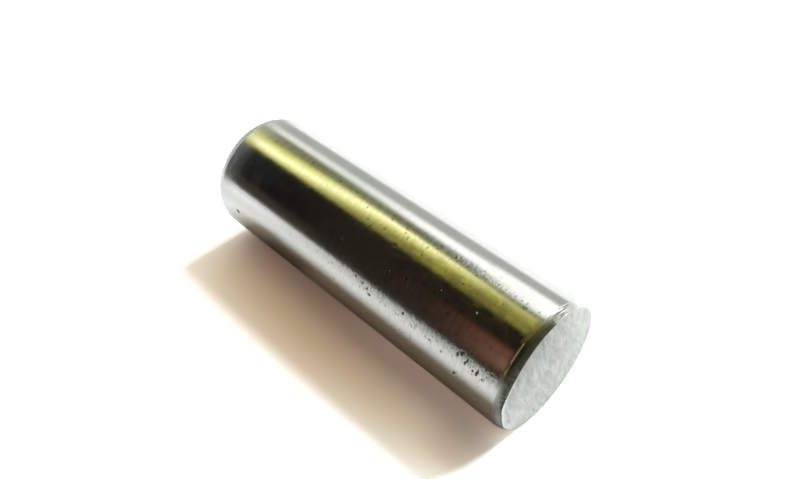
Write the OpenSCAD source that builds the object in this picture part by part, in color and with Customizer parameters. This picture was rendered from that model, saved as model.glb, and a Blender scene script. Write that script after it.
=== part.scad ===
// Piston pin: a solid round steel pin that stands on its end.
// Its barrel is ground to size, each end has a shallow lead-in taper that
// guides the pin into its bore, and the end faces are cut off square.

/* [Pin] */
// Diameter of the ground barrel
pin_d = 16; // [8:0.1:40]
// Length over both end faces
pin_l = 48; // [24:0.5:120]

/* [Lead-in at the upper end] */
// Length of the upper lead-in taper, along the pin
top_lead_l = 1.0; // [0.4:0.05:3]
// Angle between the upper lead-in taper and the barrel
top_lead_angle = 18; // [8:0.5:35]

/* [Lead-in at the lower end] */
// Length of the lower lead-in taper, along the pin
bottom_lead_l = 1.0; // [0.4:0.05:3]
// Angle between the lower lead-in taper and the barrel
bottom_lead_angle = 16.5; // [8:0.5:35]

/* [Edges] */
// Radius of the soft edge where the barrel turns into a lead-in taper
shoulder_r = 0.25; // [0.1:0.05:1.5]
// Radius of the edge between a lead-in taper and its end face
rim_r = 0.08; // [0.02:0.01:0.3]

/* [Hidden] */
$fn = 180;
barrel_r = pin_d / 2;

// How far a lead-in taper has drawn in where it meets the end face
function lead_drop(lead_l, angle) = lead_l * tan(angle);

// Middle of the arc that rounds the edge between taper and end face
function rim_centre(lead_l, angle) =
    [barrel_r - lead_drop(lead_l, angle) - rim_r * tan(45 - angle / 2), rim_r];

// Middle of the arc that rounds the edge between barrel and taper
function shoulder_centre(lead_l, angle) =
    [barrel_r - shoulder_r, lead_l + shoulder_r * tan(angle / 2)];

// Point where an arc of radius r runs into the taper: straight out from its middle
function on_taper(centre, r, angle) = centre + r * [cos(angle), -sin(angle)];

// One end's half outline, from its face at height 0 up to mid_h on the barrel
module end_outline(lead_l, angle, mid_h) {
    rim = rim_centre(lead_l, angle);
    shoulder = shoulder_centre(lead_l, angle);
    polygon([
        [0, 0],
        [rim.x, 0],
        on_taper(rim, rim_r, angle),
        on_taper(shoulder, shoulder_r, angle),
        [barrel_r, shoulder.y],
        [barrel_r, mid_h],
        [0, mid_h]
    ]);
    translate(rim) circle(r = rim_r);
    translate(shoulder) circle(r = shoulder_r);
}

// The whole pin: the two half outlines meet at mid-length and turn about Z
module pin() {
    color([0.62, 0.62, 0.60])
    rotate_extrude() {
        end_outline(bottom_lead_l, bottom_lead_angle, pin_l / 2);
        translate([0, pin_l]) mirror([0, 1]) end_outline(top_lead_l, top_lead_angle, pin_l / 2);
    }
}

pin();
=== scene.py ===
"""A ground steel piston pin, as it lies on a white table beside a window.

The pin stands on its end in its own frame: +Z runs along it, from the hidden end to the end that
faces the camera. The table touches the pin's side, so it is the plane y = RADIUS, and up from the
table is -Y. The angle round the pin is measured from +X towards +Y, so -90 degrees is the top line
of the lying pin and +90 degrees the line where it touches the table.
"""

import math

import bpy
import numpy as np
from mathutils import Matrix, Vector


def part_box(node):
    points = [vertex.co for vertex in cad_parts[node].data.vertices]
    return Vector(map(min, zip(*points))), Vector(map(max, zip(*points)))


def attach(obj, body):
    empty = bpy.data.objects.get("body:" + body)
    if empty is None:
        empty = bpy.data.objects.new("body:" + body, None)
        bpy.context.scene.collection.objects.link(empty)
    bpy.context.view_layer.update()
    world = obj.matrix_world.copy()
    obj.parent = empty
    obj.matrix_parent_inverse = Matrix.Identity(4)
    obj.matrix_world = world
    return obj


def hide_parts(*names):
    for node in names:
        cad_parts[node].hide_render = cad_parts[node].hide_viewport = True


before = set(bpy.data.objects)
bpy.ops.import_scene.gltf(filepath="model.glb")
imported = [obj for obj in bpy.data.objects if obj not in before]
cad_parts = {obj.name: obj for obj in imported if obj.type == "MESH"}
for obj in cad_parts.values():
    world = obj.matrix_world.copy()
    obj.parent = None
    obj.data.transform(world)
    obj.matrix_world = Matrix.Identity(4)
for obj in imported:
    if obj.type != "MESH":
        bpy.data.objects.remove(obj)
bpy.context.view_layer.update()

MM = 0.001
LOW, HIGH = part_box("pin")
RADIUS = (HIGH[0] - LOW[0]) / 2
LENGTH = HIGH[2] - LOW[2]

# The lead-in at each end, and the small rounds at its two edges
LEAD = 1.0 * MM
LEAD_DROP = 0.33 * MM
LEAD_START_ANGLE = math.radians(7)
LEAD_END_ANGLE = math.radians(29)
SHOULDER_ROUND = 0.12 * MM
RIM_ROUND = 0.05 * MM

# Where the barrel ends and the upper lead-in starts
SHOULDER = LENGTH - LEAD

# Where the photographer stands: over the table, beyond the visible end
CAMERA_HEIGHT = 71.12 * MM
CAMERA_ASIDE = 44.41 * MM
CAMERA_ALONG = 70.22 * MM
CAMERA_PITCH = math.radians(43.26)
CAMERA_HEADING = math.radians(45.14)
SENSOR_WIDTH = 36.0
LENS = 33.256

# The barrel's steel, as its share of reflected light: polished, stained, oily, pitted and chipped,
# and a painted yellow sheen where the lamp is mirrored
STEEL = (0.69, 0.685, 0.67)
STEEL_GREEN = (0.655, 0.67, 0.645)
STEEL_DULL = (0.50, 0.495, 0.47)
STEEL_DARK = (0.30, 0.30, 0.28)
OIL_FILM = (0.42, 0.38, 0.40)
PAINTED_YELLOW_SHEEN = (0.82, 0.87, 0.56)
PIT_COLOUR = (0.085, 0.075, 0.055)
CHIP = (0.90, 0.89, 0.87)

# The lead-ins: their shoulders, the dark part, the line at its edge with its painted golden
# highlight, and the bright side
LEAD_OLIVE = (0.24, 0.24, 0.15)
LEAD_BROWN = (0.36, 0.28, 0.14)
LEAD_GREY = (0.33, 0.325, 0.315)
LEAD_DARK = (0.115, 0.120, 0.095)
PAINTED_EDGE_HIGHLIGHT = (0.78, 0.68, 0.40)
FRESH_STEEL = (0.83, 0.83, 0.815)
FRESH_DULL = (0.22, 0.22, 0.205)
FAR_LEAD = (0.62, 0.62, 0.605)

# The sawn end faces, their pale rim, and their dents and cracks
SAWN_GREEN = (0.530, 0.562, 0.526)
SAWN_LILAC = (0.552, 0.552, 0.552)
SAWN_RIM = (0.80, 0.81, 0.80)
SPOT = (0.30, 0.32, 0.31)

# Round the pin, in degrees: the middles of the side that was ground last, of the dark part beside
# the barrel, of the edge line with its painted golden highlight and of the oily stains with their
# painted sheen
FRESH_SIDE = -127
DARK_SIDE = -52
LINE_SIDE = -47
BLOTCH_AND_SHEEN_SIDE = -65

# How far the saw's marks lean out of Y
SAW_LEAN = 0.40

# The table. TABLE_COLOUR is what it gives to light that bounces off it
TABLE_REACH = 126 * MM
TABLE_COLOUR = (0.16, 0.11, 0.08)
# As the steel mirrors it, with painted light on the window's side and painted shade away from it
# and beside the pin
TABLE_MIRRORED = (1.44, 1.43, 1.39)
TABLE_PAINTED_WINDOW_LIGHT = (1.80, 1.80, 1.79)
TABLE_MIRRORED_SHADE = (0.78, 0.74, 0.70)
TABLE_FAR_CORNER_SHADE = (1.22, 1.22, 1.21)
TABLE_FAR_SIDE_SHADE = (0.86, 0.86, 0.82)
# As a camera sees it: in general, with painted light that pales the shadow beside the visible end,
# painted shade at its very end and painted light close to the pin. It is over-white, so that only
# its shadow shows, and that is faintly mottled in pink and green
TABLE_SHOWN = (3.60, 3.60, 3.60)
TABLE_PAINTED_LIGHT_NEAR = (4.35, 4.75, 5.30)
TABLE_PAINTED_SHADE_END = (3.25, 3.30, 3.45)
TABLE_PAINTED_LIGHT_CLOSE = (7.0, 7.3, 7.4)
TABLE_PINKER = (1.03, 0.985, 1.005)
TABLE_GREENER = (0.97, 1.005, 0.985)

# The window's light, which casts the pin's shadow: where it comes from, and how wide it is
KEY_ELEVATION = math.radians(45.6)
KEY_TURN = math.radians(11)
KEY_STRENGTH = 2.3
KEY_COLOUR = (0.90, 0.95, 1.0)
KEY_ANGLE = math.radians(22)


# ---------------------------------------------------------------------------------------------
# Small helpers

def smooth_noise(a, b, seed, size=64):
    """Smooth noise from -1 to 1 over two coordinates, each a number of cells. It repeats after
    size cells."""
    grid = np.random.default_rng(seed).uniform(-1, 1, (size, size))
    a, b = np.broadcast_arrays(a, b)
    a0, b0 = np.floor(a).astype(int), np.floor(b).astype(int)
    fa, fb = a - a0, b - b0
    fa, fb = fa * fa * (3 - 2 * fa), fb * fb * (3 - 2 * fb)

    def corner(i, j):
        return grid[(a0 + i) % size, (b0 + j) % size]

    low = corner(0, 0) * (1 - fa) + corner(1, 0) * fa
    high = corner(0, 1) * (1 - fa) + corner(1, 1) * fa
    return low * (1 - fb) + high * fb


def bump(distance, width):
    """A bell curve, 1 at distance 0."""
    return np.exp(-(distance / width) ** 2)


def turn_from(angle, degrees):
    """How far each angle lies from the one in degrees, from -pi to pi."""
    return np.angle(np.exp(1j * (angle - math.radians(degrees))))


def runs(stops):
    """Numbers in rising order: stops is a list of (start, end, count), each run without its end."""
    return np.concatenate([np.linspace(a, b, n, endpoint=False) for a, b, n in stops])


# ---------------------------------------------------------------------------------------------
# The pin's surface

# Dents in the barrel that can be seen one by one: how far along the pin and how far round it
# they lie, their half length along it and half width round it, and their depth.
# In millimetres, apart from the angle.
PITS = [
    (41.5, -24.6, 0.11, 0.20, 0.040), (41.9, -27.4, 0.12, 0.19, 0.040),
    (42.1, -29.4, 0.09, 0.14, 0.020), (42.8, -25.2, 0.09, 0.22, 0.036),
    (42.6, -22.2, 0.10, 0.17, 0.036), (43.7, -20.6, 0.09, 0.18, 0.022),
    (44.3, -22.9, 0.08, 0.20, 0.036), (44.2, -20.4, 0.09, 0.20, 0.040),
    (45.8, -28.0, 0.10, 0.12, 0.022), (46.2, -26.0, 0.10, 0.13, 0.020),
    (45.0, -19.2, 0.10, 0.14, 0.016), (45.4, -23.6, 0.09, 0.16, 0.014),
    (41.7, -7.3, 0.12, 0.18, 0.036), (33.7, -24.3, 0.12, 0.16, 0.024),
    (28.7, -19.0, 0.24, 0.12, 0.022), (27.4, -24.8, 0.16, 0.16, 0.016),
    (28.2, -22.4, 0.18, 0.14, 0.016), (26.2, -26.5, 0.16, 0.14, 0.014),
    (37.9, -19.5, 0.20, 0.14, 0.010), (39.6, -17.0, 0.18, 0.14, 0.010),
    (26.2, -53.5, 0.20, 0.18, 0.020), (32.2, -49.0, 0.18, 0.20, 0.030),
    (33.0, -45.0, 0.16, 0.16, 0.018), (29.8, -44.0, 0.16, 0.18, 0.026),
    (22.4, -45.0, 0.20, 0.18, 0.014), (28.8, -42.0, 0.20, 0.16, 0.014),
    (38.2, -45.5, 0.18, 0.14, 0.014), (35.3, -54.0, 0.22, 0.16, 0.014),
    (37.0, -54.3, 0.20, 0.14, 0.012), (28.6, -65.0, 0.18, 0.16, 0.018),
    (29.2, -75.5, 0.14, 0.26, 0.008), (26.3, -71.0, 0.18, 0.14, 0.012),
    (44.5, -81.5, 0.16, 0.14, 0.016), (4.4, -1.0, 0.13, 0.34, 0.020),
]

# Small chips in the barrel that are bright all over: how far along and round the pin, and their
# half width. In millimetres, apart from the angle.
CHIPS = [(41.1, -58.5, 0.13), (45.5, -57.5, 0.055), (29.9, -46.5, 0.06), (36.4, -57.0, 0.05)]

# How deep the sawn upper end face lies on average, and the dents in it: where their middles lie,
# along X and Y, their half widths along both and their depth. In millimetres.
FACE_DEPTH = 0.013
FACE_DENTS = [
    (-1.1, -2.2, 0.30, 0.70, 0.014), (-2.6, -2.0, 0.35, 0.50, 0.012),
    (3.7, -1.8, 0.22, 0.90, 0.014), (-1.0, 3.5, 0.22, 0.80, 0.010),
    (6.3, 1.9, 0.15, 0.60, 0.030), (6.1, 3.1, 0.17, 0.55, 0.034),
    (6.9, 0.6, 0.14, 0.70, 0.018), (6.7, -0.6, 0.12, 0.60, 0.014),
    (0.2, -5.6, 0.22, 0.90, 0.010), (2.2, 1.6, 0.18, 0.90, 0.008),
]

# Patches where the barrel is worn and finely pitted: how far along and round the pin their
# middles lie, their half length and half angle, and how worn they are.
# In millimetres, apart from the angles.
WORN_PATCHES = [
    (38.0, -22, 15.0, 15, 0.40), (28.0, -23, 3.5, 6, 0.50), (40.5, -25, 5.5, 5, 0.80),
    (44.5, -23, 3.0, 8, 0.50), (31.0, -73, 10.0, 8, 0.20), (36.5, -87, 5.0, 3, 0.45),
    (24.0, -86, 12.0, 3, 0.45), (31.0, -52, 11.0, 11, 0.30), (25.5, -27, 5.0, 4, 0.55),
    (36.5, -26, 5.5, 4, 0.60), (40.0, -84, 8.0, 3, 0.35),
]

# The mesh: its columns round the pin, and its rows along the barrel as shares of its length.
# Both lie closest where the photograph shows the most pits.
COLUMNS = np.radians(runs([
    (-180, -125, 30), (-125, -62, 56), (-62, -34, 34), (-34, -4, 66), (-4, 60, 40), (60, 180, 44),
]))
BARREL_ROWS = runs([(0.0, 0.42, 34), (0.42, 0.60, 50), (0.60, 0.97, 140), (0.97, 1.0, 6)])
FACE_ROWS_TOP = 44
FACE_ROWS_BOTTOM = 12
LEAD_ROWS = 9
ROUND_ROWS = 4

# A pit or dent of this depth is as dark as they get
FULL_DEPTH = 0.02 * MM

# The barrel's faint waves from grinding: how deep they are, and how long round and along the pin,
# in millimetres, with the seed of their noise
WAVES = [(0.0009, 1.6, 1.1, 11), (0.0012, 5.2, 2.3, 12)]


def rim_drop(angle):
    """How far the upper lead-in draws in at each angle: it was ground by hand and is uneven."""
    degrees = np.degrees(angle)
    deep = 0.55 * bump(degrees + 38, 26)
    shallow = -0.62 * bump(degrees + 7, 8)
    chatter = 0.05 * smooth_noise(degrees / 4, 0 * degrees, 3, 90)
    nicks = 0.16 * bump(degrees + 95, 14) * smooth_noise(degrees / 1.2, 0 * degrees, 5, 512)
    teeth = 0.10 * smooth_noise(degrees / 1.3, 0 * degrees, 7, 512) * (1 - bump(degrees + 97, 40))
    return LEAD_DROP * (1 + deep + shallow + chatter + nicks + teeth)


def lead_outline(drop):
    """Radius and height, down from the end face, of the lead-in from its shoulder to the rim.

    drop is how far it draws in, one number for each column. The lead-in is slightly crowned: it
    starts at LEAD_START_ANGLE and steepens towards the rim."""
    rows = []
    half = math.tan(LEAD_START_ANGLE / 2)
    for a in np.linspace(0, LEAD_START_ANGLE, ROUND_ROWS):
        radius = RADIUS - SHOULDER_ROUND * (1 - math.cos(a))
        rows.append((radius + 0 * drop, LEAD + SHOULDER_ROUND * (half - math.sin(a)) + 0 * drop))
    start = math.tan(LEAD_START_ANGLE) * LEAD / LEAD_DROP
    first = (SHOULDER_ROUND * (math.sin(LEAD_START_ANGLE) - half)) / LEAD
    last = 1 - RIM_ROUND * 1.1 / LEAD
    for share in np.linspace(first, last, LEAD_ROWS)[1:]:
        depth = start * share + (1 - start) * share ** 2
        rows.append((RADIUS - drop * depth, LEAD * (1 - share) + 0 * drop))
    middle = RADIUS - drop - RIM_ROUND * math.tan(math.pi / 4 - LEAD_END_ANGLE / 2)
    for a in np.linspace(LEAD_END_ANGLE, math.pi / 2, ROUND_ROWS + 1)[1:]:
        rows.append((middle + RIM_ROUND * math.cos(a), RIM_ROUND * (1 - math.sin(a)) + 0 * drop))
    return rows


def barrel_depth(angle, height):
    """How deep the barrel's surface lies below the true cylinder."""
    around = angle * RADIUS / MM
    along = height / MM + 0 * angle
    ragged = 1 + 0.30 * smooth_noise(around / 0.13, along / 0.13, 13, 256)
    depth = 0 * along
    for middle, round_angle, half_length, half_width, deep in PITS:
        turn = turn_from(angle, round_angle)
        off = np.hypot((along - middle) / half_length, turn * RADIUS / (half_width * MM))
        depth += deep * MM * bump(off * ragged, 1.0)
    for deep, long_round, long_along, seed in WAVES:
        depth += deep * MM * (1 + smooth_noise(around / long_round, along / long_along, seed))
    return depth


def chipped(angle, height):
    """1 in the middle of each bright chip and 0 between them."""
    chip = 0 * angle
    for middle, round_angle, half_width in CHIPS:
        turn = turn_from(angle, round_angle)
        off = np.hypot(height / MM - middle, turn * RADIUS / MM)
        chip = chip + bump(off, half_width)
    return np.clip(chip, 0, 1)


def worn_zone(angle, height):
    """How worn the barrel is, from 0 to 1."""
    worn = 0.08 + 0 * angle
    for middle, round_angle, half_length, half_angle, amount in WORN_PATCHES:
        turn = np.degrees(turn_from(angle, round_angle))
        worn += amount * bump(turn, half_angle) * bump(height / MM - middle, half_length)
    return np.clip(worn, 0, 1)


def face_dents(x, y):
    """How deep the dents in the upper end face are. All in millimetres."""
    ragged = 1 + 0.3 * smooth_noise(x / 0.2, y / 0.3, 25, 256)
    depth = np.zeros(np.broadcast(x, y).shape)
    for middle_x, middle_y, half_x, half_y, deep in FACE_DENTS:
        off_y = y - middle_y
        off = np.hypot((x - middle_x + SAW_LEAN * off_y) / half_x, off_y / half_y)
        depth += deep * bump(off * ragged, 1.0)
    return depth


def saw_marks(x, y):
    """How deep the upper end face lies below flat. The saw's marks run along Y and wander."""
    x, y = x / MM, y / MM
    wander = 0.35 * smooth_noise(y / 4.0, x / 3.0, 21)
    across = x + SAW_LEAN * y + wander
    broad = smooth_noise(across / 0.85, y / 3.6, 22)
    narrow = smooth_noise(across / 0.34, y / 2.2, 23)
    lumps = smooth_noise(x / 2.4, y / 2.8, 24)
    depth = FACE_DEPTH + 0.0045 * broad + 0.0022 * narrow + 0.006 * lumps
    return (depth + face_dents(x, y)) * MM


def face_rings(edge, count):
    """Rings from just inside the rim to near the middle: edge is the outermost radius."""
    shares = 1 - np.linspace(0, 1, count + 1)[1:-1] ** 1.15
    return [edge * share for share in shares]


def pin_rows():
    """The rows of the surface from the middle of the lower face to the middle of the upper one.

    Each row is (zone, x, y, z), with one point for each column."""
    cos, sin = np.cos(COLUMNS), np.sin(COLUMNS)
    rows = []

    def row(zone, radius, height):
        rows.append((zone, radius * cos, radius * sin, height + 0 * cos))

    even = LEAD_DROP * (1 + 0.06 * smooth_noise(np.degrees(COLUMNS) / 9, 0 * COLUMNS, 31, 40))
    lower = lead_outline(even)
    for radius in reversed(face_rings(lower[-1][0], FACE_ROWS_BOTTOM)):
        row("face", radius, 0.0)
    for radius, down in reversed(lower):
        row("lead", radius, down)
    barrel_start = lower[0][1][0]
    barrel_end = LENGTH - barrel_start
    for share in BARREL_ROWS[1:]:
        height = barrel_start + (barrel_end - barrel_start) * share
        row("barrel", RADIUS - barrel_depth(COLUMNS, height), height)
    upper = lead_outline(rim_drop(COLUMNS))
    for radius, down in upper:
        row("lead", radius, LENGTH - down)
    edge = upper[-1][0]
    for radius in face_rings(edge, FACE_ROWS_TOP):
        depth = saw_marks(radius * cos, radius * sin)
        fade = np.clip((edge - radius) / (0.3 * MM), 0, 1)
        row("face", radius, LENGTH - depth * fade)
    return rows


def add_attribute(mesh, name, values):
    """A number for each point of the mesh, which the materials read by its name."""
    attribute = mesh.attributes.new(name, "FLOAT", "POINT")
    attribute.data.foreach_set("value", values.astype(np.float32))


def build_pin(materials):
    """One closed mesh from the rows, with a material for each zone."""
    rows = pin_rows()
    count = len(COLUMNS)
    points = [np.stack(r[1:], axis=1) for r in rows]
    ends = np.array([[0, 0, 0.0], [0, 0, LENGTH - FACE_DEPTH * MM]])
    verts = np.concatenate(points + [ends])
    faces, zones = [], []
    for r in range(len(rows) - 1):
        # a strip is in the zone of its upper row, but the barrel's last one is still the barrel's
        zone = "barrel" if rows[r][0] == "barrel" else rows[r + 1][0]
        for c in range(count):
            n = (c + 1) % count
            faces.append((r * count + c, r * count + n, (r + 1) * count + n, (r + 1) * count + c))
            zones.append(zone)
    middle_low, middle_top = len(verts) - 2, len(verts) - 1
    last = (len(rows) - 1) * count
    for c in range(count):
        n = (c + 1) % count
        faces.append((middle_low, n, c))
        faces.append((middle_top, last + c, last + n))
        zones += ["face", "face"]
    mesh = bpy.data.meshes.new("pin_steel")
    mesh.from_pydata(verts.tolist(), [], faces)
    order = list(materials)
    for name in order:
        mesh.materials.append(materials[name])
    mesh.polygons.foreach_set("material_index", [order.index(z) for z in zones])
    mesh.polygons.foreach_set("use_smooth", [True] * len(faces))
    depth = np.zeros(len(verts))
    for r, (zone, x, y, z) in enumerate(rows):
        if zone == "barrel":
            depth[r * count:(r + 1) * count] = RADIUS - np.hypot(x, y)
        if zone == "face" and z[0] > LENGTH / 2:
            depth[r * count:(r + 1) * count] = face_dents(x / MM, y / MM) * MM
    angle = np.arctan2(verts[:, 1], verts[:, 0])
    add_attribute(mesh, "pit_depth", np.clip(depth / FULL_DEPTH, 0, 1))
    add_attribute(mesh, "wear", worn_zone(angle, verts[:, 2]))
    add_attribute(mesh, "chip", chipped(angle, verts[:, 2]))
    mesh.validate()
    pin = bpy.data.objects.new("pin_steel", mesh)
    bpy.context.collection.objects.link(pin)
    return pin


# ---------------------------------------------------------------------------------------------
# Shader building

class Tree:
    """A node tree with short ways to add and join nodes. Wherever a value is asked for, it can be
    a number, a colour, a node or one of a node's outputs."""

    def __init__(self, tree):
        self.tree = tree
        tree.nodes.clear()

    def add(self, kind, inputs=None, **settings):
        """A new node, with values for its inputs, by name or number, and its settings."""
        node = self.tree.nodes.new("ShaderNode" + kind)
        for name, value in settings.items():
            setattr(node, name, value)
        for name, value in (inputs or {}).items():
            self.put(node.inputs[name], value)
        return node

    def put(self, socket, value):
        """Link a socket to a node's output, or set it to a number or colour."""
        if isinstance(value, bpy.types.Node):
            value = value.outputs[0]
        if isinstance(value, bpy.types.NodeSocket):
            self.tree.links.new(value, socket)
        elif isinstance(value, tuple) and len(value) == 3 and socket.type == "RGBA":
            socket.default_value = (*value, 1.0)
        else:
            socket.default_value = value

    def math(self, operation, a, b=0.0):
        return self.add("Math", {0: a, 1: b}, operation=operation)

    def plus(self, first, *others):
        """The sum of all the values."""
        for other in others:
            first = self.math("ADD", first, other)
        return first

    def times(self, first, *others):
        """The product of all the values."""
        for other in others:
            first = self.math("MULTIPLY", first, other)
        return first

    def largest(self, first, *others):
        """The largest of all the values."""
        for other in others:
            first = self.math("MAXIMUM", first, other)
        return first

    def rest(self, share):
        """What a share leaves of 1."""
        return self.math("SUBTRACT", 1.0, share)

    def ease(self, value, low, high):
        """0 below low, 1 above high, and a smooth step between."""
        settings = {"Value": value, "From Min": low, "From Max": high}
        return self.add("MapRange", settings, interpolation_type="SMOOTHSTEP")

    def between(self, value, low, high, soft):
        """1 from low to high, with soft edges."""
        rise = self.ease(value, low - soft, low + soft)
        fall = self.ease(value, high + soft, high - soft)
        return self.times(rise, fall)

    def blend(self, share, a, b):
        """The colour a where share is 0, and b where it is 1."""
        node = self.add("Mix", data_type="RGBA")
        for index, value in ((0, share), (6, a), (7, b)):
            self.put(node.inputs[index], value)
        return node.outputs[2]

    def place(self):
        """Where a point lies in the object's own frame."""
        return self.add("TexCoord").outputs["Object"]

    def attribute(self, name):
        """A number that the mesh has for each of its points."""
        return self.add("Attribute", attribute_name=name).outputs["Fac"]

    def scale(self, vector, factors):
        return self.add("VectorMath", {0: vector, 1: factors}, operation="MULTIPLY")

    def noise(self, place, cells, detail=2.0, roughness=0.5):
        """Noise round 0.5 with this many cells to a metre, one number or one for each axis."""
        factors = cells if isinstance(cells, tuple) else (cells,) * 3
        return self.add("TexNoise", {"Vector": self.scale(place, factors), "Scale": 1.0,
                                     "Detail": detail, "Roughness": roughness})

    def wander(self, place, cells, distance):
        """The place moved to and fro by noise, by up to half the distance along each axis."""
        noise = self.add("TexNoise", {"Vector": place, "Scale": cells, "Detail": 1.0})
        move = self.add("VectorMath", {0: noise.outputs["Color"], 1: (0.5,) * 3},
                        operation="SUBTRACT")
        return self.add("VectorMath", {0: place, 1: self.scale(move, (distance,) * 3)},
                        operation="ADD")

    def facing(self, place, angle, low, high):
        """1 on the side of the pin that faces the angle: low and high are cosines."""
        turned = (math.cos(math.radians(angle)), math.sin(math.radians(angle)), 0.0)
        along = self.add("VectorMath", {0: place, 1: turned}, operation="DOT_PRODUCT")
        return self.ease(self.math("DIVIDE", along.outputs["Value"], RADIUS), low, high)

    def relief(self, lift, depth, under=None):
        """A bump this deep, on top of another one."""
        bump_node = self.add("Bump", {"Height": lift, "Distance": depth})
        if under:
            self.put(bump_node.inputs["Normal"], under)
        return bump_node


def new_material(name):
    material = bpy.data.materials.new(name)
    material.use_nodes = True
    return material, Tree(material.node_tree)


def finish_material(t, colour, roughness, normal):
    shader = t.add("BsdfPrincipled", {"Base Color": colour, "Metallic": 1.0,
                                      "Roughness": roughness, "Normal": normal})
    t.add("OutputMaterial", {"Surface": shader})


# ---------------------------------------------------------------------------------------------
# The steel

def small_pits(t, place, wear):
    """Small pits, each a spot in a cell of its own: the more wear, the more cells have one."""
    ragged = t.wander(place, 4200, 0.12 * MM)
    cells = t.add("TexVoronoi", {"Vector": t.scale(ragged, (1900, 1900, 2500)), "Scale": 1.0})
    pick, size, _ = t.add("SeparateColor", {0: cells.outputs["Color"]}).outputs
    reach = t.plus(t.times(size, 0.28), 0.22)
    spot = t.ease(t.math("DIVIDE", cells.outputs["Distance"], reach), 1.0, 0.35)
    return t.times(spot, t.ease(t.math("SUBTRACT", wear, pick), 0.0, 0.15))


def stained_steel(t, place, wear):
    """The barrel's colour: clouds everywhere, and short dull strokes round it where it is worn."""
    cloud = t.ease(t.noise(place, (330, 330, 230), 2), 0.35, 0.68)
    stroke = t.ease(t.noise(place, (800, 800, 3400), 3), 0.45, 0.68)
    colour = t.blend(cloud, STEEL, STEEL_GREEN)
    return t.blend(t.times(stroke, t.plus(wear, 0.10), 0.80), colour, STEEL_DULL)


def edge_highlight_line(t, place, height):
    """Where the barrel's rough edge catches the light, beside the dark part of the lead-in, with a
    painted golden highlight.
    """
    tip = t.ease(height, SHOULDER - 0.20 * MM, SHOULDER - 0.10 * MM)
    broken = t.ease(t.noise(place, 900, 2), 0.31, 0.50)
    return t.times(tip, broken, t.facing(place, LINE_SIDE, 0.945, 0.985))


def dull_edge(t, place, height):
    """The frayed edge of the barrel beside the dark part of the lead-in."""
    fray = t.math("SUBTRACT", t.noise(place, 1100, 2), 0.5)
    frayed = t.plus(height, t.times(fray, 1.2 * MM))
    edge = t.ease(frayed, SHOULDER - 0.75 * MM, SHOULDER - 0.05 * MM)
    return t.times(edge, t.facing(place, DARK_SIDE, 0.80, 0.92))


def barrel_material():
    """Ground and polished steel: fine grinding marks round the pin, pits, stains and chips."""
    material, t = new_material("ground_steel")
    place = t.place()
    height = t.add("SeparateXYZ", {0: place}).outputs["Z"]
    wear = t.attribute("wear")
    pit = t.ease(t.attribute("pit_depth"), 0.22, 0.75)
    chip = t.ease(t.attribute("chip"), 0.25, 0.60)
    edge = dull_edge(t, place, height)
    line = edge_highlight_line(t, place, height)

    # oily stains on one side, towards the visible end: dull blotches, and a painted yellow-green
    # sheen where the lamp is mirrored
    blotch_and_sheen_zone = t.times(t.facing(place, BLOTCH_AND_SHEEN_SIDE, 0.960, 0.990), t.ease(height, 22 * MM, 33 * MM))
    blotch = t.times(t.ease(t.noise(place, (620, 620, 480), 3), 0.40, 0.66), blotch_and_sheen_zone)
    painted_sheen = t.times(t.ease(t.noise(place, (900, 900, 700), 2), 0.52, 0.66), blotch_and_sheen_zone)

    colour = stained_steel(t, place, wear)
    colour = t.blend(t.times(blotch, 0.65), colour, OIL_FILM)
    # painted sheen: brighter, yellower steel that paints a reflection of the lamp
    colour = t.blend(t.times(painted_sheen, 0.60), colour, PAINTED_YELLOW_SHEEN)
    colour = t.blend(t.times(small_pits(t, place, wear), 0.85), colour, STEEL_DARK)
    colour = t.blend(pit, colour, PIT_COLOUR)
    colour = t.blend(chip, colour, CHIP)
    colour = t.blend(t.times(edge, 0.70), colour, LEAD_OLIVE)
    # painted golden highlight on the barrel's rough, worn edge
    colour = t.blend(line, colour, PAINTED_EDGE_HIGHLIGHT)

    # dull where it is worn and towards the far end, which is out of focus in the photograph
    grind = t.noise(place, (450, 450, 4200), 2)
    fine = t.times(t.ease(grind, 0.3, 0.75), 0.045)
    far_end = t.ease(height, LEAD + 3.5 * MM, LEAD)
    roughness = t.plus(fine, 0.125, t.times(wear, 0.05), t.times(pit, 0.20), t.times(far_end, 0.12))
    roughness = t.largest(roughness, t.times(edge, 0.34), t.times(blotch, 0.22),
                          t.times(line, 0.85), t.times(chip, 0.85))

    ripple = t.noise(place, (1000, 1000, 550), 2)
    grain = t.times(t.noise(place, (2300, 2300, 3800), 2), wear)
    wavy = t.relief(ripple, 0.005 * MM, t.relief(grind, 0.0022 * MM))
    finish_material(t, colour, roughness, t.relief(grain, 0.015 * MM, wavy))
    return material


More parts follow.
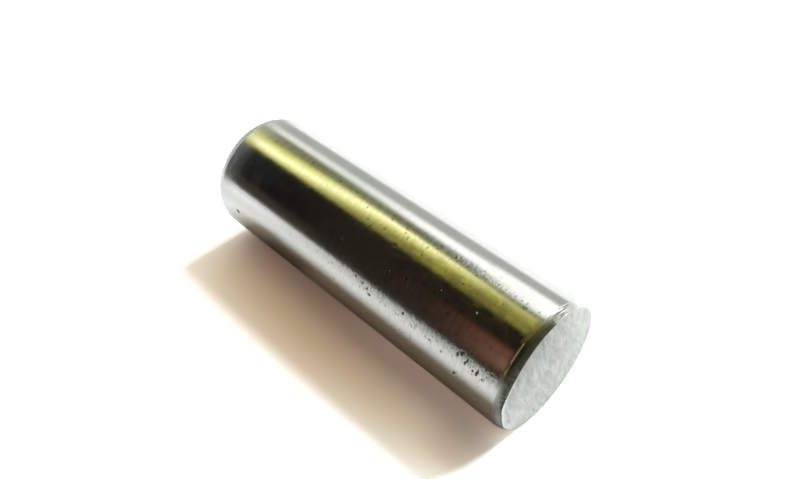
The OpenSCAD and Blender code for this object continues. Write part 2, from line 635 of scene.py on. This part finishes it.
def lead_material():
    """The lead-ins, ground by hand: still bright at the shoulder and dark towards the rim. The
    side that was ground last is bright all over, and so is the whole of the lower lead-in."""
    material, t = new_material("lead_in_steel")
    place = t.place()
    height = t.add("SeparateXYZ", {0: place}).outputs["Z"]
    upper = t.math("GREATER_THAN", height, LENGTH / 2)
    shifted = t.wander(place, 420, 1.2 * MM)

    # share is about 0 at the shoulder and 1 at the rim
    inward = t.math("DIVIDE", t.math("SUBTRACT", height, SHOULDER), LEAD)
    uneven = t.math("SUBTRACT", t.noise(place, 420, 2), 0.5)
    share = t.plus(inward, t.times(uneven, 0.45))
    shoulder = t.blend(t.facing(shifted, 15, 0.62, 0.86), LEAD_OLIVE, LEAD_GREY)
    shoulder = t.blend(t.facing(shifted, -42, 0.965, 0.995), shoulder, LEAD_BROWN)
    colour = t.blend(t.ease(share, -0.05, 0.25), STEEL_DULL, shoulder)

    # dark towards the rim, but less so in blotches and on the side that is low in the photograph
    blotch = t.ease(t.noise(place, 1700, 2), 0.46, 0.66)
    low_side = t.times(t.facing(shifted, 28, 0.62, 0.90), 0.80, t.ease(share, 1.00, 0.72))
    dark = t.times(t.ease(share, 0.20, 0.62), t.rest(low_side), t.rest(t.times(blotch, 0.35)))
    colour = t.blend(dark, colour, LEAD_DARK)

    # the bright side, which has dull stripes and dark nicks at the top
    turned = t.noise(place, (650, 650, 7500), 2)
    striped = t.times(t.ease(turned, 0.46, 0.56), upper, t.facing(shifted, -91, 0.94, 0.99))
    nick = t.ease(t.noise(place, (3800, 3800, 1800), 1), 0.54, 0.64)
    nicked = t.times(nick, t.ease(share, 0.20, 0.50), t.facing(shifted, -92, 0.965, 0.99))
    ground = t.blend(striped, FRESH_STEEL, FRESH_DULL)
    ground = t.blend(nicked, ground, STEEL_DARK)
    ground = t.blend(upper, FAR_LEAD, ground)
    bright = t.largest(t.facing(shifted, FRESH_SIDE, 0.70, 0.86), t.rest(upper))
    colour = t.blend(bright, colour, ground)

    roughness = t.plus(t.times(turned, 0.2), 0.22, t.times(dark, t.rest(bright), 0.24))
    grain = t.noise(place, 2600, 2)
    normal = t.relief(grain, 0.008 * MM, t.relief(turned, 0.006 * MM))
    finish_material(t, colour, roughness, normal)
    return material


def face_material():
    """The end faces: cut off and matt, with the saw's marks nearly along Y."""
    material, t = new_material("sawn_steel")
    place = t.place()
    x, y, _ = t.add("SeparateXYZ", {0: place}).outputs
    bend = t.math("SUBTRACT", t.noise(place, 230, 1), 0.5)
    sideways = t.plus(x, t.times(y, SAW_LEAN), t.times(bend, 1.3 * MM))

    def marks(across, along, detail):
        """Noise round 0 along the saw's marks, with its cells to a metre across and along them."""
        drawn = t.add("CombineXYZ", {"X": t.times(sideways, across), "Y": t.times(y, along)})
        return t.math("SUBTRACT", t.noise(drawn, 1, detail, 0.6), 0.5)

    broad = marks(760, 210, 2)
    narrow = marks(1700, 360, 2)
    scratches = marks(4600, 900, 1)

    # how light the face is: painted shade, darkest on the side of the dark lead-in and a little in
    # the middle, and painted light on the other side, over the saw's marks
    across = t.math("DIVIDE", x, RADIUS)
    down = t.math("DIVIDE", y, RADIUS)
    radius = t.math("SQRT", t.plus(t.times(across, across), t.times(down, down)))
    # painted shade towards the dark lead-in and in the middle, painted light on the opposite side
    dark_side = t.times(t.plus(across, 0.4), t.math("MINIMUM", down, 0.25), 0.55)
    middle = t.times(t.ease(radius, 0.9, 0.0), -0.08)
    painted_light_side = t.times(t.ease(across, -0.30, -0.95), 0.14)
    shade = t.plus(dark_side, middle, painted_light_side, t.times(broad, 0.60), t.times(narrow, 0.85),
                   t.times(scratches, 0.35), 1.0)

    cloud = t.ease(t.noise(place, 230, 2), 0.40, 0.62)
    colour = t.blend(cloud, SAWN_GREEN, SAWN_LILAC)
    colour = t.add("VectorMath", {0: colour, "Scale": shade}, operation="SCALE")
    crack = t.ease(marks(2300, 560, 1), 0.14, 0.24)
    colour = t.blend(t.times(crack, 0.35), colour, SPOT)
    dent = t.ease(t.attribute("pit_depth"), 0.1, 1.0)
    colour = t.blend(t.times(dent, 0.60), colour, SPOT)
    rim = t.ease(t.plus(radius, t.times(bend, 0.2)), 0.875, 0.955)
    colour = t.blend(t.times(rim, t.facing(place, 5, 0.60, 0.95)), colour, SAWN_RIM)

    roughness = t.plus(t.times(narrow, 0.16), 0.42)
    lift = t.plus(t.times(broad, 0.60), t.times(narrow, 0.40), t.times(scratches, 0.15))
    grain = t.noise(place, 6000, 2)
    normal = t.relief(grain, 0.002 * MM, t.relief(lift, 0.04 * MM))
    finish_material(t, colour, roughness, normal)
    return material


# ---------------------------------------------------------------------------------------------
# The table

def table_mirrored(t, x, z):
    """The table as the steel mirrors it: painted light on the window's side and painted shade on
    the other.
    """
    window_light_share = t.largest(t.ease(x, 20 * MM, -30 * MM), t.ease(z, -8 * MM, -32 * MM))
    far_corner_shade = t.times(t.ease(x, 44 * MM, 72 * MM), t.ease(z, -110 * MM, -40 * MM))
    far_side_shade = t.times(t.ease(x, 26 * MM, 70 * MM), t.ease(z, -35 * MM, 0.0))
    # painted light on the window's side, painted shade on the far corner and far side
    colour = t.blend(window_light_share, TABLE_MIRRORED, TABLE_PAINTED_WINDOW_LIGHT)
    colour = t.blend(far_corner_shade, colour, TABLE_FAR_CORNER_SHADE)
    colour = t.blend(far_side_shade, colour, TABLE_FAR_SIDE_SHADE)

    # beside the pin: painted shade, darkest near the hidden end, and painted light past it
    past_end = t.times(t.between(x, 2 * MM, 18 * MM, 6 * MM), t.ease(z, 3 * MM, -4 * MM))
    painted_shade_share = t.times(t.between(x, 2 * MM, 13.5 * MM, 2.5 * MM),
                      t.between(z, 4 * MM, 12.5 * MM, 2.5 * MM))
    colour = t.blend(past_end, colour, TABLE_PAINTED_WINDOW_LIGHT)
    return t.blend(painted_shade_share, colour, TABLE_MIRRORED_SHADE)


def table_shown(t, place, x, z):
    """The table as a camera sees it, also through glass. It is over-white in the light, so its
    painted light and shade and its mottling show only in the pin's shadow."""
    # painted shade at the shadow's end beside the visible end, painted light close to the pin
    painted_shade_at_end = t.times(t.ease(z, 38 * MM, 45 * MM), t.between(x, 7 * MM, 12.5 * MM, 2 * MM))
    close = t.times(t.ease(x, 7.5 * MM, 3.5 * MM), t.ease(z, 14 * MM, 33 * MM))
    colour = t.blend(t.ease(z, 20 * MM, 46 * MM), TABLE_SHOWN, TABLE_PAINTED_LIGHT_NEAR)
    colour = t.blend(painted_shade_at_end, colour, TABLE_PAINTED_SHADE_END)
    colour = t.blend(close, colour, TABLE_PAINTED_LIGHT_CLOSE)
    cloud = t.ease(t.noise(place, 380, 4, 0.7), 0.38, 0.62)
    return t.scale(colour, t.blend(cloud, TABLE_PINKER, TABLE_GREENER))


def table_material():
    """White on top, with a colour for each kind of ray, and nothing at all from below."""
    material, t = new_material("white_table")
    place = t.place()
    x, _, z = t.add("SeparateXYZ", {0: place}).outputs
    path = t.add("LightPath").outputs
    bounced = t.math("MINIMUM", path["Diffuse Depth"], 1.0)
    colour = t.blend(bounced, table_mirrored(t, x, z), TABLE_COLOUR)
    seen = t.plus(path["Is Camera Ray"], path["Is Transmission Ray"])
    colour = t.blend(seen, colour, table_shown(t, place, x, z))
    top = t.add("BsdfDiffuse", {"Color": colour})
    below = t.add("NewGeometry").outputs["Backfacing"]
    surface = t.add("MixShader", {0: below, 1: top, 2: t.add("BsdfTransparent")})
    t.add("OutputMaterial", {"Surface": surface})
    return material


def build_table():
    """The white table that the pin lies on."""
    y = RADIUS
    r = TABLE_REACH
    mesh = bpy.data.meshes.new("table")
    mesh.from_pydata([(-r, y, -r), (r, y, -r), (r, y, r), (-r, y, r)], [], [(0, 1, 2, 3)])
    mesh.materials.append(table_material())
    table = bpy.data.objects.new("table", mesh)
    bpy.context.collection.objects.link(table)


# ---------------------------------------------------------------------------------------------
# The room

# What stands round the table, as the polished barrel shows it. Heights are in degrees over the
# table, from 0 at the horizon behind the pin over 90 overhead to 180 at the horizon in front of
# it. Each thing has the height at which it starts, how soft that edge is, and its colour.
WHITE_TABLE = (1.36, 1.36, 1.34)
ROOM = [
    ("wall", 3.2, 4.5, (0.545, 0.56, 0.52)),
    ("window", 33, 6.5, (1.13, 1.16, 1.08)),
    ("window_frame", 48.2, 5.7, (0.215, 0.225, 0.110)),
    ("ceiling", 70, 4.0, (0.29, 0.26, 0.050)),
    ("dark_side", 101.8, 3.3, (0.002, 0.002, 0.001)),
    ("dark_wall", 163, 7.0, (0.036, 0.032, 0.020)),
    ("table", 185.8, 5.2, (1.12, 1.12, 1.10)),
]
BROWN_HAZE = (0.021, 0.016, 0.011)
FAR_TABLE = (0.46, 0.45, 0.42)
CEILING_GLOW = (1.18, 1.16, 0.33)
LAMP = (1.95, 1.88, 1.20)
PALE_FRAME = (0.66, 0.67, 0.44)
ROOM_ENDS = (0.70, 0.70, 0.68)

# Things in front of those, each hiding the ones before it: the heights between which it stands,
# and how far its direction leans along the pin, both with how soft the edges are, and its colour.
# Towards the visible end the window is wider and brighter, and a dark frame stands before it.
BRIGHT_WINDOW = (1.56, 1.57, 1.52)
NEAR_THINGS = [
    ("window", (34, 50, 5.0), (-0.53, 0.60, 0.05), BRIGHT_WINDOW),
    ("window_frame", (52, 68, 3.5), (-0.49, -0.405, 0.025), (0.085, 0.085, 0.055)),
    ("wide_window", (28, 64, 5.0), (-0.395, 0.60, 0.02), BRIGHT_WINDOW),
    ("hand", (133.5, 172, 5.0), (-0.380, -0.10, 0.030), (0.150, 0.062, 0.036)),
    ("palm", (147, 165, 5.0), (-0.33, -0.15, 0.015), (0.30, 0.185, 0.105)),
    ("finger", (137, 146, 3.0), (-0.37, -0.15, 0.02), (0.225, 0.082, 0.060)),
]

# The soft light that the table gets from the room, which shows in the pin's shadow, and the share
# of it that the steel mirrors
SOFT_LIGHT = (0.57, 0.62, 0.60)
YELLOW_LIGHT = (0.288, 0.229, 0.118)
WARM_LIGHT = (0.108, 0.071, 0.050)
MIRRORED_SOFT_LIGHT = 0.75

# What a camera sees past the table's edge, and no light at all
BACKDROP = (1.0, 1.0, 1.0)
BLACK = (0.0, 0.0, 0.0)


def lamp_light(t, room, height, lean):
    """The room with the lamp under its ceiling: a bright streak in a wide yellow glow. They run
    aslant and fade towards the visible end, where the window's frame hides more of them."""
    middle = t.math("SUBTRACT", 89.0, t.times(t.ease(lean, -0.68, -0.51), 18.0))
    off_middle = t.math("SUBTRACT", height, middle)
    fading = t.rest(t.times(t.ease(lean, -0.51, -0.35), 0.71))
    over_frame = t.math("SUBTRACT", height, t.times(t.ease(lean, -0.43, -0.38), 4.0))
    lit = t.times(fading, t.ease(lean, -0.12, -0.34), t.ease(over_frame, 65.5, 72.5),
                  t.ease(height, 105.0, 98.0))
    glow = t.times(t.between(off_middle, -15, 12, 8.0), lit)
    streak = t.times(t.between(off_middle, -4.5, 4.0, 6.0), lit)
    return t.blend(streak, t.blend(glow, room, CEILING_GLOW), LAMP)


def room_colour(t, height, lean):
    """The room as the steel mirrors it. lean is how far a direction leans along the pin, from -1,
    which is straight towards the hidden end, to 1."""
    room = WHITE_TABLE
    for _, start, soft, shade in ROOM:
        room = t.blend(t.ease(height, start - soft, start + soft), room, shade)

    # brown haze over the dark things, and darker table below the horizon in front
    haze = t.times(t.between(height, 108, 178, 5.0), t.between(lean, -0.60, -0.20, 0.04))
    room = t.blend(haze, room, BROWN_HAZE)
    far_table = t.times(t.ease(height, 181, 189), t.ease(lean, -0.62, -0.54))
    room = t.blend(far_table, room, FAR_TABLE)
    room = lamp_light(t, room, height, lean)

    # towards the hidden end the window's frame is paler
    pale = t.times(t.between(height, 50, 72, 7.0), t.ease(lean, -0.675, -0.71))
    room = t.blend(pale, room, PALE_FRAME)
    for _, heights, leans, shade in NEAR_THINGS:
        part = t.times(t.between(height, *heights), t.between(lean, *leans))
        room = t.blend(part, room, shade)

    past_ends = t.ease(t.math("ABSOLUTE", lean), 0.735, 0.80)
    return t.blend(past_ends, room, ROOM_ENDS)


def soft_light(t, height):
    """The light that the table gets from the room: pale from the window's side, yellow from
    overhead, and faint and warm from the front."""
    light = t.blend(t.ease(height, 56, 74), SOFT_LIGHT, YELLOW_LIGHT)
    return t.blend(t.ease(height, 79, 110), light, WARM_LIGHT)


def build_world():
    """The room. Polished steel sees its things, and the table gets only its soft light."""
    world = bpy.data.worlds.new("room")
    world.use_nodes = True
    bpy.context.scene.world = world
    t = Tree(world.node_tree)
    x, y, lean = t.add("SeparateXYZ", {0: t.add("TexCoord").outputs["Generated"]}).outputs
    turned = t.math("ARCTAN2", x, t.times(y, -1.0))
    height = t.plus(t.math("DEGREES", turned), 90.0)

    path = t.add("LightPath").outputs
    mirrored = t.math("MINIMUM", path["Glossy Depth"], 1.0)
    bounced = t.math("MINIMUM", path["Diffuse Depth"], 1.0)
    dimmed = t.times(mirrored, 1 - MIRRORED_SOFT_LIGHT)
    soft = t.blend(dimmed, soft_light(t, height), BLACK)
    colour = t.blend(bounced, room_colour(t, height, lean), soft)
    colour = t.blend(path["Is Camera Ray"], colour, BACKDROP)
    t.add("OutputWorld", {"Surface": t.add("Background", {"Color": colour, "Strength": 1.0})})


def build_key_light():
    """The window's light on the table. The steel doesn't mirror it, because the room has a window
    of its own."""
    lamp = bpy.data.lights.new("window_light", "SUN")
    lamp.energy = KEY_STRENGTH
    lamp.angle = KEY_ANGLE
    lamp.color = KEY_COLOUR
    level = math.cos(KEY_ELEVATION)
    across, along = math.cos(KEY_TURN), -math.sin(KEY_TURN)
    travel = Vector((level * across, math.sin(KEY_ELEVATION), level * along))
    key = bpy.data.objects.new("window_light", lamp)
    key.visible_glossy = False
    key.rotation_euler = travel.to_track_quat("-Z", "Y").to_euler()
    bpy.context.collection.objects.link(key)


def build_camera():
    """A level camera that looks down on the lying pin from beyond its near end."""
    data = bpy.data.cameras.new("camera")
    data.sensor_fit = "HORIZONTAL"
    data.sensor_width = SENSOR_WIDTH
    data.lens = LENS
    data.clip_start = 5 * MM
    camera = bpy.data.objects.new("camera", data)
    up = Vector((0, -1, 0))
    level = Vector((-math.sin(CAMERA_HEADING), 0, -math.cos(CAMERA_HEADING)))
    forward = level * math.cos(CAMERA_PITCH) - up * math.sin(CAMERA_PITCH)
    right = forward.cross(up).normalized()
    upward = right.cross(forward)
    turn = Matrix((right, upward, -forward)).transposed()
    place = Vector((CAMERA_ASIDE, RADIUS - CAMERA_HEIGHT, CAMERA_ALONG))
    camera.matrix_world = Matrix.Translation(place) @ turn.to_4x4()
    bpy.context.collection.objects.link(camera)
    bpy.context.scene.camera = camera


# ---------------------------------------------------------------------------------------------
# The scene

build_camera()
build_table()
build_world()
build_key_light()
pin = build_pin({"barrel": barrel_material(), "lead": lead_material(), "face": face_material()})
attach(pin, "root")
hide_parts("pin")

bpy.context.scene.view_settings.view_transform = "Standard"
